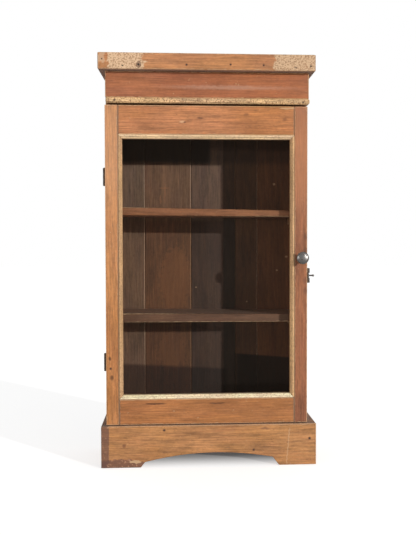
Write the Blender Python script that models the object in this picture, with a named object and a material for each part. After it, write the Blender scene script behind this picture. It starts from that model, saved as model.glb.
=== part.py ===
"""Small glazed bookcase: a shallow wooden cabinet with one glazed door.

Frame: metres, +Z up, origin on the floor under the middle of the overall box.
The front looks along -Y and the door's hinges are at -X. Every depth below is a
distance behind the door's front face, so the cornice and the knob have negative ones.
"""
import math

import bmesh
import bpy
from mathutils import Matrix, Vector

MM = 0.001

# Driving dimensions, in millimetres.
HEIGHT = 770.0
CORNICE_LEFT = -203.4
CORNICE_RIGHT = 199.8
CORNICE_HEIGHT = 30.1
CORNICE_BOARD = 18.0
CORNICE_PROJECTION = 15.0
CORNICE_LEFT_TAPER = 5.0
CORNICE_PANEL_THICKNESS = 12.0
CORNICE_PANEL_SINK = 1.0
BODY_LEFT = -191.8
BODY_RIGHT = 188.2
SIDE_THICKNESS = 12.0
BOARD_THICKNESS = 16.0
TOP_BOARD_UNDERSIDE = 695.0
FLOOR_TOP = 94.6
FRIEZE_LEFT = -191.2
FRIEZE_RIGHT = 189.6
FRIEZE_BOTTOM = 691.2
FRIEZE_SETBACK = 2.0
NECK_LEFT = -190.4
NECK_RIGHT = 190.8
NECK_BOTTOM = 680.5
NECK_PROJECTION = 2.0
NECK_ROUNDING = 2.4

PLINTH_LEFT = -201.7
PLINTH_RIGHT = 203.4
PLINTH_HEIGHT = 78.2
PLINTH_PROJECTION = 7.0
PLINTH_FRONT_THICKNESS = 28.0
PLINTH_BACK_CLEARANCE = 25.0
ARCH_FOOT_LEFT = -128.0
ARCH_FOOT_RIGHT = 132.4
ARCH_SHOULDER_LEFT = (-120.0, 10.0)
ARCH_SHOULDER_RIGHT = (120.8, 15.7)
ARCH_PEAK = (11.9, 26.2)
ARCH_STEPS = 12

BACK_FACE = 136.0
PLANK_THICKNESS = 8.0
PLANK_LAP = 5.0
PLANK_EDGE = 0.9
REAR_DEPTH = 146.0
PLANK_JOINTS = (-123.9, -29.9, 60.9, 106.2)
PLANK_GAP = 0.5

SHELF_FRONT_DEPTH = 24.0
SHELF_END_CLEARANCE = 1.0
UPPER_SHELF_LEFT_END = (473.6, 488.3)
UPPER_SHELF_RIGHT_END = (470.5, 482.2)
LOWER_SHELF_LEFT_END = (270.0, 287.0)
LOWER_SHELF_RIGHT_END = (269.3, 283.7)
BEARER_WIDTH = 9.0
BEARER_HEIGHT = 12.0
BEARER_SETBACK = 4.0

DOOR_LEFT = -192.1
DOOR_RIGHT = 186.9
DOOR_BOTTOM = 79.6
DOOR_TOP = 676.6
DOOR_THICKNESS = 19.0
DOOR_GAP = 2.6
STILE_LEFT_WIDTH = 23.7
STILE_RIGHT_WIDTH = 24.3
RAIL_TOP_HEIGHT = 53.7
RAIL_BOTTOM_HEIGHT = 47.4
BEAD_WIDTH = 7.6
BEAD_BACK = 8.9
BEAD_RISE = 1.2
BEAD_SHOULDER = 0.6
BEAD_ROUND_CENTRE = 2.25
BEAD_GROOVE = (4.8, 1.4)
BEAD_COVE_CENTRE = (5.2, 4.4)
GLASS_FRONT = 9.2
GLASS_THICKNESS = 2.5
GLASS_MARGIN = 1.0
STRIP_WIDTH = 7.0

KNOB_X = 175.6
KNOB_Z = 392.3
KNOB_RADIUS = 11.8
KNOB_PROJECTION = 23.0
KNOB_DOME_RISE = 5.0
KNOB_RIM_EDGE = 1.0
KNOB_RIM_TAPER = 2.0
KNOB_UNDERSIDE = 12.0
KNOB_NECK_RADIUS = 5.0
KNOB_NECK_WAIST = 4.2
KNOB_NECK_FOOT = 2.4
KNOB_STEM_RADIUS = 2.0
ROSE_RADIUS = 8.0
ROSE_SHOULDER = 6.5
ROSE_EDGE = 1.2
ROSE_THICKNESS = 2.0
KNOB_NUT_SIZE = 8.0
KNOB_NUT_THICKNESS = 1.7
BORE_START = -5.0
BORE_LENGTH = 40.0

HINGE_HEIGHT = 33.0
HINGE_CENTRES = (195.3, 545.0)
HINGE_AXIS_X = -195.1
KNUCKLE_RADIUS = 2.5
PIN_RADIUS = 1.2
PIN_CLEARANCE = 0.3
PIN_OVERRUN = 0.8
BARREL_BORE_OVERRUN = 5.0
LEAF_THICKNESS = 0.8
LEAF_OFFSET = 0.3
LEAF_START = 2.8
WEB_INSET = 0.1
WEB_OVERLAP = 0.6
DOOR_LEAF_REACH = 17.5
CARCASE_LEAF_REACH = 14.6
SCREW_HEAD_RADIUS = 1.9
SCREW_SHANK_RADIUS = 1.0
SCREW_LENGTH = 9.0
SCREW_TIP = 1.5
SCREW_HEAD_SHARE = 0.8
SCREW_NECK = 0.1
SCREW_CLEARANCE = 0.3
PILOT_OVERRUN = 0.6
SCREW_SPREAD = 19.0

BOLT_Z = 358.6
HOUSING_HEIGHT = 27.6
HOUSING_OUTER = 192.1
HOUSING_PLATE = 1.2
HOUSING_FRONT = 3.0
HOUSING_REAR = 17.0
BAR_HEIGHT = 8.6
BAR_THICKNESS = 1.8
BAR_FRONT = 1.0
BAR_REAR = 18.0
BAR_CLEARANCE = 0.4
BAR_SLOT_CLEARANCE = 0.5
BOLT_KNOB_DEPTH = 6.0
BOLT_KNOB_TIP = 201.3
BOLT_KNOB_RADIUS = 2.3
BOLT_STEM_RADIUS = 1.3
KEEPER_FRONT = 24.0
KEEPER_REAR = 31.0
KEEPER_LEG = 4.8
KEEPER_OUTER = 193.0
KEEPER_BRIDGE = 1.4

GAP = 0.3
EDGE = 0.6
FRONT_EDGE = 0.8
CORNICE_EDGE = 1.0
HOUSING_EDGE = 0.4
KEEPER_EDGE = 0.3
ROUND_SEGMENTS = 20
BEVEL_ANGLE = 40.0
SMOOTH_ANGLE = 35.0

# Derived sizes.
INNER_LEFT = BODY_LEFT + SIDE_THICKNESS
INNER_RIGHT = BODY_RIGHT - SIDE_THICKNESS
CORNICE_BOTTOM = HEIGHT - CORNICE_HEIGHT
CARCASE_FRONT = DOOR_THICKNESS + DOOR_GAP
OPENING_LEFT = DOOR_LEFT + STILE_LEFT_WIDTH
OPENING_RIGHT = DOOR_RIGHT - STILE_RIGHT_WIDTH
OPENING_BOTTOM = DOOR_BOTTOM + RAIL_BOTTOM_HEIGHT
OPENING_TOP = DOOR_TOP - RAIL_TOP_HEIGHT
DOOR_FACE_Y = (KNOB_PROJECTION - REAR_DEPTH) / 2
HINGE_AXIS_DEPTH = DOOR_THICKNESS + DOOR_GAP / 2


def world_point(x, depth, z):
    """Place in metres from a width, a depth behind the door's face and a height in millimetres."""
    return Vector((x, DOOR_FACE_Y + depth, z)) * MM


def clear_scene():
    for old in list(bpy.data.objects):
        bpy.data.objects.remove(old, do_unlink=True)


def make_material(name, colour, roughness, metallic=0.0, alpha=1.0):
    material = bpy.data.materials.new(name)
    material.use_nodes = True
    surface = material.node_tree.nodes["Principled BSDF"]
    surface.inputs["Base Color"].default_value = (*colour, 1.0)
    surface.inputs["Roughness"].default_value = roughness
    surface.inputs["Metallic"].default_value = metallic
    surface.inputs["Alpha"].default_value = alpha
    return material


def add_object(name, mesh, location, material):
    piece = bpy.data.objects.new(name, mesh)
    piece.location = location
    bpy.context.collection.objects.link(piece)
    if material is not None:
        mesh.materials.append(material)
    return piece


def mesh_from(name, geometry):
    bmesh.ops.recalc_face_normals(geometry, faces=geometry.faces)
    mesh = bpy.data.meshes.new(name)
    geometry.to_mesh(mesh)
    geometry.free()
    return mesh


def soften(piece, width=EDGE):
    """Take the sharp edge off a board."""
    bevel = piece.modifiers.new("worn edge", "BEVEL")
    bevel.width = width * MM
    bevel.segments = 1
    bevel.limit_method = "ANGLE"
    bevel.angle_limit = math.radians(BEVEL_ANGLE)
    return piece


def box_piece(name, across, depth, height, material):
    """Box between two widths, two depths and two heights."""
    low = world_point(across[0], depth[0], height[0])
    high = world_point(across[1], depth[1], height[1])
    geometry = bmesh.new()
    size = Matrix.Diagonal((*(high - low), 1.0))
    bmesh.ops.create_cube(geometry, size=1.0, matrix=size)
    return add_object(name, mesh_from(name, geometry), (low + high) / 2, material)


def board(name, across, depth, height, material, edge=EDGE):
    return soften(box_piece(name, across, depth, height, material), edge)


def extruded(name, outline, direction, material):
    """Closed outline of world points pushed along a direction, with its origin at their middle."""
    centre = sum(outline, Vector()) / len(outline) + direction / 2
    geometry = bmesh.new()
    face = geometry.faces.new([geometry.verts.new(point - centre) for point in outline])
    pushed = bmesh.ops.extrude_face_region(geometry, geom=[face])
    moved = [item for item in pushed["geom"] if isinstance(item, bmesh.types.BMVert)]
    bmesh.ops.translate(geometry, verts=moved, vec=direction)
    return add_object(name, mesh_from(name, geometry), centre, material)


def turned(name, profile, origin, axis, material):
    """Solid of revolution: the profile holds (radius, distance along the axis) in millimetres."""
    geometry = bmesh.new()
    points = [geometry.verts.new(Vector((radius, 0.0, along)) * MM) for radius, along in profile]
    edges = [geometry.edges.new(pair) for pair in zip(points, points[1:])]
    bmesh.ops.spin(geometry, geom=points + edges, axis=(0, 0, 1), cent=(0, 0, 0),
                   angle=math.tau, steps=ROUND_SEGMENTS, use_duplicate=False)
    bmesh.ops.remove_doubles(geometry, verts=geometry.verts, dist=0.01 * MM)
    piece = add_object(name, mesh_from(name, geometry), origin, material)
    piece.rotation_mode = "QUATERNION"
    piece.rotation_quaternion = Vector((0, 0, 1)).rotation_difference(Vector(axis))
    piece.data.shade_smooth()
    piece.data.set_sharp_from_angle(angle=math.radians(SMOOTH_ANGLE))
    return piece


def cylinder(name, origin, axis, radius, length, material=None):
    return turned(name, [(0, 0), (radius, 0), (radius, length), (0, length)], origin, axis, material)


def combine(piece, tool, operation):
    """Join a tool to a piece or cut it out of the piece, and remove the tool."""
    change = piece.modifiers.new("join or cut", "BOOLEAN")
    change.operation = operation
    change.solver = "EXACT"
    change.object = tool
    bpy.context.view_layer.update()
    evaluated = piece.evaluated_get(bpy.context.evaluated_depsgraph_get())
    piece.data = bpy.data.meshes.new_from_object(evaluated)
    piece.modifiers.clear()
    bpy.data.objects.remove(tool, do_unlink=True)


def make_empty(name, location, parent=None):
    empty = bpy.data.objects.new(name, None)
    empty.empty_display_size = 0.02
    bpy.context.collection.objects.link(empty)
    if parent is None:
        empty.location = location
    else:
        empty.parent = parent
        empty.location = location - parent.location
    return empty


def carry(pieces, parent, parent_place):
    """Parent pieces to an empty without moving them."""
    for piece in pieces:
        piece.parent = parent
        piece.location = piece.location - parent_place


def make_sides(wood):
    height = (PLINTH_BACK_CLEARANCE, CORNICE_BOTTOM - GAP)
    depth = (CARCASE_FRONT, BACK_FACE - GAP)
    board("side_panel_left", (BODY_LEFT, INNER_LEFT), depth, height, wood)
    board("side_panel_right", (INNER_RIGHT, BODY_RIGHT), depth, height, wood)


def make_carcase_boards(wood):
    across = (INNER_LEFT + GAP, INNER_RIGHT - GAP)
    depth = (CARCASE_FRONT, BACK_FACE - GAP)
    board("top_board", across, depth, (TOP_BOARD_UNDERSIDE, TOP_BOARD_UNDERSIDE + BOARD_THICKNESS), wood)
    board("bottom_board", across, depth, (FLOOR_TOP - BOARD_THICKNESS, FLOOR_TOP), wood)


def plank_plan(left, right, laps_left, lapped_right):
    """Plan of a rebated board: its rear half laps behind the board on its left."""
    half_gap = PLANK_GAP / 2
    middle = BACK_FACE + PLANK_THICKNESS / 2
    rear = BACK_FACE + PLANK_THICKNESS
    near_left = left + (half_gap if laps_left else 0.0)
    near_right = right - (half_gap if lapped_right else 0.0)
    far_left = near_left - (PLANK_LAP if laps_left else 0.0)
    far_right = near_right - (PLANK_LAP if lapped_right else 0.0)
    plan = [(near_left, BACK_FACE), (near_right, BACK_FACE)]
    if lapped_right:
        plan += [(near_right, middle - half_gap), (far_right, middle - half_gap)]
    plan += [(far_right, rear), (far_left, rear)]
    if laps_left:
        plan += [(far_left, middle + half_gap), (near_left, middle + half_gap)]
    return plan


def make_back_planks(wood):
    """Boards nailed over the rear edges of the sides, each lapping the next with a narrow crack."""
    edges = (BODY_LEFT,) + PLANK_JOINTS + (BODY_RIGHT,)
    base = PLINTH_HEIGHT + GAP
    lift = Vector((0, 0, CORNICE_BOTTOM - GAP - base)) * MM
    last = len(edges) - 2
    for index, (left, right) in enumerate(zip(edges, edges[1:])):
        plan = plank_plan(left, right, index > 0, index < last)
        outline = [world_point(x, depth, base) for x, depth in plan]
        soften(extruded(f"back_plank_{index + 1}", outline, lift, wood), PLANK_EDGE)


def between(first, last, share):
    return first + (last - first) * share


def make_shelf(name, left_end, right_end, wood):
    """A loose shelf on two bearers; each end gives the heights of its underside and its top."""
    left = INNER_LEFT + SHELF_END_CLEARANCE
    right = INNER_RIGHT - SHELF_END_CLEARANCE
    section = [(left, left_end[0]), (right, right_end[0]), (right, right_end[1]), (left, left_end[1])]
    outline = [world_point(x, SHELF_FRONT_DEPTH, z) for x, z in section]
    back = Vector((0, BACK_FACE - GAP - SHELF_FRONT_DEPTH, 0)) * MM
    soften(extruded(name, outline, back, wood), FRONT_EDGE)
    bearer_depth = (SHELF_FRONT_DEPTH + BEARER_SETBACK, BACK_FACE - BEARER_SETBACK)
    spans = {
        "left": (INNER_LEFT + GAP, INNER_LEFT + GAP + BEARER_WIDTH),
        "right": (INNER_RIGHT - GAP - BEARER_WIDTH, INNER_RIGHT - GAP),
    }
    for side, across in spans.items():
        shares = [(x - left) / (right - left) for x in across]
        top = min(between(left_end[0], right_end[0], share) for share in shares) - GAP
        board(f"{name}_bearer_{side}", across, bearer_depth, (top - BEARER_HEIGHT, top), wood)


def make_frieze(wood, pale_wood):
    depth = (FRIEZE_SETBACK, CARCASE_FRONT - GAP)
    height = (FRIEZE_BOTTOM, CORNICE_BOTTOM - GAP)
    board("frieze_board", (FRIEZE_LEFT, FRIEZE_RIGHT), depth, height, wood, edge=FRONT_EDGE)
    neck_depth = (-NECK_PROJECTION, CARCASE_FRONT - GAP)
    neck_height = (NECK_BOTTOM, FRIEZE_BOTTOM - GAP)
    board("neck_strip", (NECK_LEFT, NECK_RIGHT), neck_depth, neck_height, pale_wood, edge=NECK_ROUNDING)


def make_cornice(wood):
    """Front and side boards mitred at the corners, a rear rail and a sunk top panel."""
    lift = Vector((0, 0, CORNICE_HEIGHT)) * MM
    base = CORNICE_BOTTOM
    front = -CORNICE_PROJECTION
    inner_left = CORNICE_LEFT + CORNICE_BOARD
    inner_right = CORNICE_RIGHT - CORNICE_BOARD
    inner_depth = front + CORNICE_BOARD
    plans = {
        "cornice_front": [(CORNICE_LEFT + GAP, front), (CORNICE_RIGHT - GAP, front),
                          (inner_right - GAP, inner_depth), (inner_left + GAP, inner_depth)],
        "cornice_left": [(CORNICE_LEFT, front + GAP), (inner_left, inner_depth + GAP),
                         (inner_left, REAR_DEPTH), (CORNICE_LEFT + CORNICE_LEFT_TAPER, REAR_DEPTH)],
        "cornice_right": [(CORNICE_RIGHT, front + GAP), (inner_right, inner_depth + GAP),
                          (inner_right, REAR_DEPTH), (CORNICE_RIGHT, REAR_DEPTH)],
    }
    for name, plan in plans.items():
        outline = [world_point(x, depth, base) for x, depth in plan]
        soften(extruded(name, outline, lift, wood), CORNICE_EDGE)
    panel_top = HEIGHT - CORNICE_PANEL_SINK
    panel_bottom = panel_top - CORNICE_PANEL_THICKNESS
    across = (inner_left + GAP, inner_right - GAP)
    board("cornice_top_panel", across, (inner_depth + GAP, REAR_DEPTH), (panel_bottom, panel_top), wood)
    rail_depth = (REAR_DEPTH - CORNICE_BOARD, REAR_DEPTH)
    board("cornice_back_rail", across, rail_depth, (base, panel_bottom - GAP), wood)


def arch_height(x):
    """Underside of the hand-cut arch: half a parabola down each side of its peak."""
    peak_x, peak_z = ARCH_PEAK
    shoulder_x, shoulder_z = ARCH_SHOULDER_LEFT if x < peak_x else ARCH_SHOULDER_RIGHT
    along = (x - peak_x) / (shoulder_x - peak_x)
    return peak_z - (peak_z - shoulder_z) * along ** 2


def make_plinth(wood):
    top = PLINTH_HEIGHT
    left_x = ARCH_SHOULDER_LEFT[0]
    right_x = ARCH_SHOULDER_RIGHT[0]
    xs = [left_x + (right_x - left_x) * step / ARCH_STEPS for step in range(ARCH_STEPS + 1)]
    arch = [(x, arch_height(x)) for x in xs]
    outline = [(PLINTH_LEFT, top), (PLINTH_LEFT, 0.0), (ARCH_FOOT_LEFT, 0.0)] + arch
    outline += [(ARCH_FOOT_RIGHT, 0.0), (PLINTH_RIGHT, 0.0), (PLINTH_RIGHT, top)]
    points = [world_point(x, -PLINTH_PROJECTION, z) for x, z in outline]
    back = Vector((0, PLINTH_FRONT_THICKNESS, 0)) * MM
    soften(extruded("plinth_front", points, back, wood), FRONT_EDGE)
    depth = (PLINTH_FRONT_THICKNESS - PLINTH_PROJECTION + GAP, REAR_DEPTH)
    board("plinth_left", (PLINTH_LEFT, BODY_LEFT - GAP), depth, (0.0, top), wood, edge=FRONT_EDGE)
    board("plinth_right", (BODY_RIGHT + GAP, PLINTH_RIGHT), depth, (0.0, top), wood, edge=FRONT_EDGE)
    back_depth = (BACK_FACE, BACK_FACE + PLANK_THICKNESS)
    board("plinth_back", (BODY_LEFT, BODY_RIGHT), back_depth, (PLINTH_BACK_CLEARANCE, top), wood)


def make_door_frame(wood):
    depth = (0.0, DOOR_THICKNESS)
    height = (DOOR_BOTTOM, DOOR_TOP)
    across = (OPENING_LEFT + GAP, OPENING_RIGHT - GAP)
    left = box_piece("door_stile_left", (DOOR_LEFT, OPENING_LEFT), depth, height, wood)
    right = box_piece("door_stile_right", (OPENING_RIGHT, DOOR_RIGHT), depth, height, wood)
    top = board("door_rail_top", across, depth, (OPENING_TOP, DOOR_TOP), wood)
    bottom = board("door_rail_bottom", across, depth, (DOOR_BOTTOM, OPENING_BOTTOM), wood)
    return left, right, top, bottom


def arc(centre, radius, start, end, steps):
    angles = [math.radians(start + (end - start) * step / steps) for step in range(steps + 1)]
    return [(centre[0] + radius * math.cos(a), centre[1] - radius * math.sin(a)) for a in angles]


def bead_profile():
    """(distance in from the frame, depth): a proud round, a groove, then a quarter round."""
    outer_round = arc((BEAD_ROUND_CENTRE, BEAD_RISE), 2 * BEAD_RISE, 158, 22, 4)
    inner_round = arc(BEAD_COVE_CENTRE, BEAD_WIDTH - BEAD_COVE_CENTRE[0], 80, 0, 3)
    shoulder = [(0.0, BEAD_BACK), (0.0, BEAD_SHOULDER)]
    return shoulder + outer_round + [BEAD_GROOVE] + inner_round + [(BEAD_WIDTH, BEAD_BACK)]


def square_profile(width, front, back):
    return [(0.0, back), (0.0, front), (width, front), (width, back)]


def make_opening_frame(prefix, profile, clearance, wood):
    """Four mitred lengths around the inside of the door's opening."""
    left = OPENING_LEFT + clearance
    right = OPENING_RIGHT - clearance
    bottom = OPENING_BOTTOM + clearance
    top = OPENING_TOP - clearance
    ends = {
        "left": ((left, bottom, 1, 1), (left, top, 1, -1)),
        "right": ((right, bottom, -1, 1), (right, top, -1, -1)),
        "bottom": ((left, bottom, 1, 1), (right, bottom, -1, 1)),
        "top": ((left, top, 1, -1), (right, top, -1, -1)),
    }
    pieces = []
    for side, (start, finish) in ends.items():
        along_z = side in ("left", "right")
        geometry = bmesh.new()
        middle = world_point((start[0] + finish[0]) / 2, BEAD_BACK, (start[1] + finish[1]) / 2)
        for corner_x, corner_z, step_x, step_z in (start, finish):
            trim_x = 0.0 if along_z else step_x * GAP
            trim_z = step_z * GAP if along_z else 0.0
            ring = []
            for inward, depth in profile:
                x = corner_x + step_x * inward + trim_x
                z = corner_z + step_z * inward + trim_z
                ring.append(geometry.verts.new(world_point(x, depth, z) - middle))
            geometry.faces.new(ring)
        bmesh.ops.bridge_loops(geometry, edges=[edge for edge in geometry.edges])
        pieces.append(add_object(f"{prefix}_{side}", mesh_from(prefix, geometry), middle, wood))
    return pieces


def make_glazing(pale_wood, wood, glass):
    beads = make_opening_frame("glazing_bead", bead_profile(), GAP, pale_wood)
    strip_front = GLASS_FRONT + GLASS_THICKNESS + GAP
    strip_profile = square_profile(STRIP_WIDTH, strip_front, DOOR_THICKNESS)
    strips = make_opening_frame("glazing_strip", strip_profile, GAP, wood)
    across = (OPENING_LEFT + GLASS_MARGIN, OPENING_RIGHT - GLASS_MARGIN)
    height = (OPENING_BOTTOM + GLASS_MARGIN, OPENING_TOP - GLASS_MARGIN)
    pane = box_piece("glass_pane", across, (GLASS_FRONT, GLASS_FRONT + GLASS_THICKNESS), height, glass)
    return beads + strips + [pane]


def make_knob(iron, stile):
    """Turned iron knob on a stem through the right stile, with a rose in front and a nut behind."""
    stem_end = -(DOOR_THICKNESS + GAP + KNOB_NUT_THICKNESS)
    dome_base = KNOB_PROJECTION - KNOB_DOME_RISE
    dome = arc((0.0, 0.0), 1.0, 90, 12, 6)
    profile = [(KNOB_RADIUS * radius, dome_base - KNOB_DOME_RISE * drop) for radius, drop in dome]
    profile += [(KNOB_RADIUS, dome_base - KNOB_RIM_EDGE)]
    profile += [(KNOB_RADIUS - KNOB_RIM_TAPER, KNOB_UNDERSIDE + KNOB_RIM_EDGE)]
    profile += [(KNOB_NECK_RADIUS, KNOB_UNDERSIDE), (KNOB_NECK_WAIST, KNOB_NECK_FOOT)]
    profile += [(KNOB_STEM_RADIUS, KNOB_NECK_FOOT), (KNOB_STEM_RADIUS, stem_end), (0.0, stem_end)]
    place = world_point(KNOB_X, 0.0, KNOB_Z)
    knob = turned("knob", list(reversed(profile)), place, (0, -1, 0), iron)
    rose_hole = KNOB_STEM_RADIUS + GAP
    rose_profile = [(rose_hole, GAP), (ROSE_RADIUS, GAP), (ROSE_RADIUS, ROSE_EDGE),
                    (ROSE_SHOULDER, ROSE_THICKNESS), (rose_hole, ROSE_THICKNESS), (rose_hole, GAP)]
    rose = turned("knob_rose", rose_profile, place, (0, -1, 0), iron)
    reach = KNOB_NUT_SIZE / 2
    nut_depth = (DOOR_THICKNESS + GAP, DOOR_THICKNESS + GAP + KNOB_NUT_THICKNESS)
    nut_height = (KNOB_Z - reach, KNOB_Z + reach)
    nut = box_piece("knob_nut", (KNOB_X - reach, KNOB_X + reach), nut_depth, nut_height, iron)
    bore_place = world_point(KNOB_X, BORE_START, KNOB_Z)
    combine(nut, cylinder("nut_hole", bore_place, (0, 1, 0), rose_hole, BORE_LENGTH), "DIFFERENCE")
    stem_hole = cylinder("stem_hole", bore_place, (0, 1, 0), rose_hole, BORE_LENGTH)
    combine(stile, stem_hole, "DIFFERENCE")
    return [knob, rose, nut]


def leaf_box(name, sign, reach, height, start, material=None, thinner=0.0):
    """Flat plate of a hinge leaf; sign -1 lies on the door and +1 on the carcase."""
    near = HINGE_AXIS_DEPTH + sign * (LEAF_OFFSET + thinner)
    far = HINGE_AXIS_DEPTH + sign * (LEAF_OFFSET + LEAF_THICKNESS - thinner)
    across = (HINGE_AXIS_X + start, HINGE_AXIS_X + reach)
    return box_piece(name, across, (min(near, far), max(near, far)), height, material)


def make_leaf(name, sign, reach, centre_z, knuckles, iron):
    """A plate with one or two knuckles bored for the pin and two screw holes."""
    low = centre_z - HINGE_HEIGHT / 2
    leaf = leaf_box(name, sign, reach, (low, low + HINGE_HEIGHT), LEAF_START, iron)
    for screw_x, screw_z in screw_places(reach, centre_z):
        start = world_point(screw_x, HINGE_AXIS_DEPTH - SCREW_LENGTH / 2, screw_z)
        hole_radius = SCREW_HEAD_RADIUS + SCREW_CLEARANCE
        hole = cylinder("screw_hole", start, (0, 1, 0), hole_radius, SCREW_LENGTH)
        combine(leaf, hole, "DIFFERENCE")
    third = HINGE_HEIGHT / 3
    for index in knuckles:
        bottom = low + third * index + (GAP if index else 0.0)
        top = low + third * (index + 1) - (GAP if index < 2 else 0.0)
        web_height = (bottom + WEB_INSET, top - WEB_INSET)
        web = leaf_box("web", sign, LEAF_START + WEB_OVERLAP, web_height, PIN_RADIUS, thinner=WEB_INSET)
        combine(leaf, web, "UNION")
        base = world_point(HINGE_AXIS_X, HINGE_AXIS_DEPTH, bottom)
        combine(leaf, cylinder("barrel", base, (0, 0, 1), KNUCKLE_RADIUS, top - bottom), "UNION")
    bore_base = world_point(HINGE_AXIS_X, HINGE_AXIS_DEPTH, low - BARREL_BORE_OVERRUN)
    bore_length = HINGE_HEIGHT + 2 * BARREL_BORE_OVERRUN
    bore = cylinder("bore", bore_base, (0, 0, 1), PIN_RADIUS + PIN_CLEARANCE, bore_length)
    combine(leaf, bore, "DIFFERENCE")
    return leaf


def screw_places(reach, centre_z):
    screw_x = HINGE_AXIS_X + (LEAF_START + reach) / 2
    return [(screw_x, centre_z + sign * SCREW_SPREAD / 2) for sign in (-1, 1)]


def make_screw(name, place, sign, iron, wood_piece):
    """Flush wood screw through a leaf; it drives away from the leaf into a bored pilot hole."""
    axis = (0, sign, 0)
    head = LEAF_THICKNESS * SCREW_HEAD_SHARE
    profile = [(0, 0), (SCREW_HEAD_RADIUS, 0), (SCREW_HEAD_RADIUS, head),
               (SCREW_SHANK_RADIUS, head + SCREW_NECK),
               (SCREW_SHANK_RADIUS, SCREW_LENGTH - SCREW_TIP), (0, SCREW_LENGTH)]
    screw = turned(name, profile, place, axis, iron)
    pilot = cylinder("pilot", place, axis, SCREW_SHANK_RADIUS + SCREW_CLEARANCE,
                     SCREW_LENGTH + PILOT_OVERRUN)
    combine(wood_piece, pilot, "DIFFERENCE")
    return screw


def make_hinge(level, centre_z, iron, stile, side):
    """Butt hinge: returns the pieces that stay on the carcase and those that go with the door."""
    fixed = [make_leaf(f"{level}_hinge_carcase_leaf", 1, CARCASE_LEAF_REACH, centre_z, (0, 2), iron)]
    moving = [make_leaf(f"{level}_hinge_door_leaf", -1, DOOR_LEAF_REACH, centre_z, (1,), iron)]
    pin_length = HINGE_HEIGHT + 2 * PIN_OVERRUN
    base = world_point(HINGE_AXIS_X, HINGE_AXIS_DEPTH, centre_z - pin_length / 2)
    fixed.append(cylinder(f"{level}_hinge_pin", base, (0, 0, 1), PIN_RADIUS, pin_length, iron))
    for number, (screw_x, screw_z) in enumerate(screw_places(CARCASE_LEAF_REACH, centre_z), 1):
        place = world_point(screw_x, HINGE_AXIS_DEPTH + LEAF_OFFSET, screw_z)
        fixed.append(make_screw(f"{level}_carcase_screw_{number}", place, 1, iron, side))
    for number, (screw_x, screw_z) in enumerate(screw_places(DOOR_LEAF_REACH, centre_z), 1):
        place = world_point(screw_x, HINGE_AXIS_DEPTH - LEAF_OFFSET, screw_z)
        moving.append(make_screw(f"{level}_door_screw_{number}", place, -1, iron, stile))
    return fixed, moving


def make_bolt_housing(iron):
    """Channel on the door's right edge, open to the side, that guides the sliding bar."""
    base = DOOR_RIGHT + GAP
    floor = base + HOUSING_PLATE
    reach = HOUSING_HEIGHT / 2
    slot = BAR_HEIGHT / 2 + BAR_SLOT_CLEARANCE
    section = [(base, -reach), (HOUSING_OUTER, -reach), (HOUSING_OUTER, -slot), (floor, -slot),
               (floor, slot), (HOUSING_OUTER, slot), (HOUSING_OUTER, reach), (base, reach)]
    points = [world_point(x, HOUSING_FRONT, BOLT_Z + offset) for x, offset in section]
    back = Vector((0, HOUSING_REAR - HOUSING_FRONT, 0)) * MM
    return soften(extruded("bolt_housing", points, back, iron), HOUSING_EDGE)


def make_slide_bolt(iron):
    """Flat bar with a short stem and a round finger knob on its outer face."""
    inner = DOOR_RIGHT + GAP + HOUSING_PLATE + BAR_CLEARANCE
    half = BAR_HEIGHT / 2
    bolt = box_piece("slide_bolt", (inner, inner + BAR_THICKNESS), (BAR_FRONT, BAR_REAR),
                     (BOLT_Z - half, BOLT_Z + half), iron)
    stem_length = BOLT_KNOB_TIP - inner - BAR_THICKNESS / 2
    ball_centre = stem_length - BOLT_KNOB_RADIUS
    angles = [math.radians(angle) for angle in range(40, 181, 20)]
    rounded = [(BOLT_KNOB_RADIUS * math.sin(angle), ball_centre - BOLT_KNOB_RADIUS * math.cos(angle))
               for angle in angles]
    profile = [(0.0, 0.0), (BOLT_STEM_RADIUS, 0.0)] + rounded
    place = world_point(inner + BAR_THICKNESS / 2, BOLT_KNOB_DEPTH, BOLT_Z)
    combine(bolt, turned("stem", profile, place, (1, 0, 0), None), "UNION")
    bolt.data.shade_smooth()
    bolt.data.set_sharp_from_angle(angle=math.radians(SMOOTH_ANGLE))
    return bolt


def make_keeper(iron):
    """Staple on the right side panel that the bar slides into."""
    base = BODY_RIGHT + GAP
    slot = BAR_HEIGHT / 2 + BAR_SLOT_CLEARANCE
    reach = slot + KEEPER_LEG
    bridge = KEEPER_OUTER - KEEPER_BRIDGE
    section = [(base, -reach), (KEEPER_OUTER, -reach), (KEEPER_OUTER, reach), (base, reach),
               (base, slot), (bridge, slot), (bridge, -slot), (base, -slot)]
    points = [world_point(x, KEEPER_FRONT, BOLT_Z + offset) for x, offset in section]
    back = Vector((0, KEEPER_REAR - KEEPER_FRONT, 0)) * MM
    return soften(extruded("bolt_keeper", points, back, iron), KEEPER_EDGE)


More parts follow.
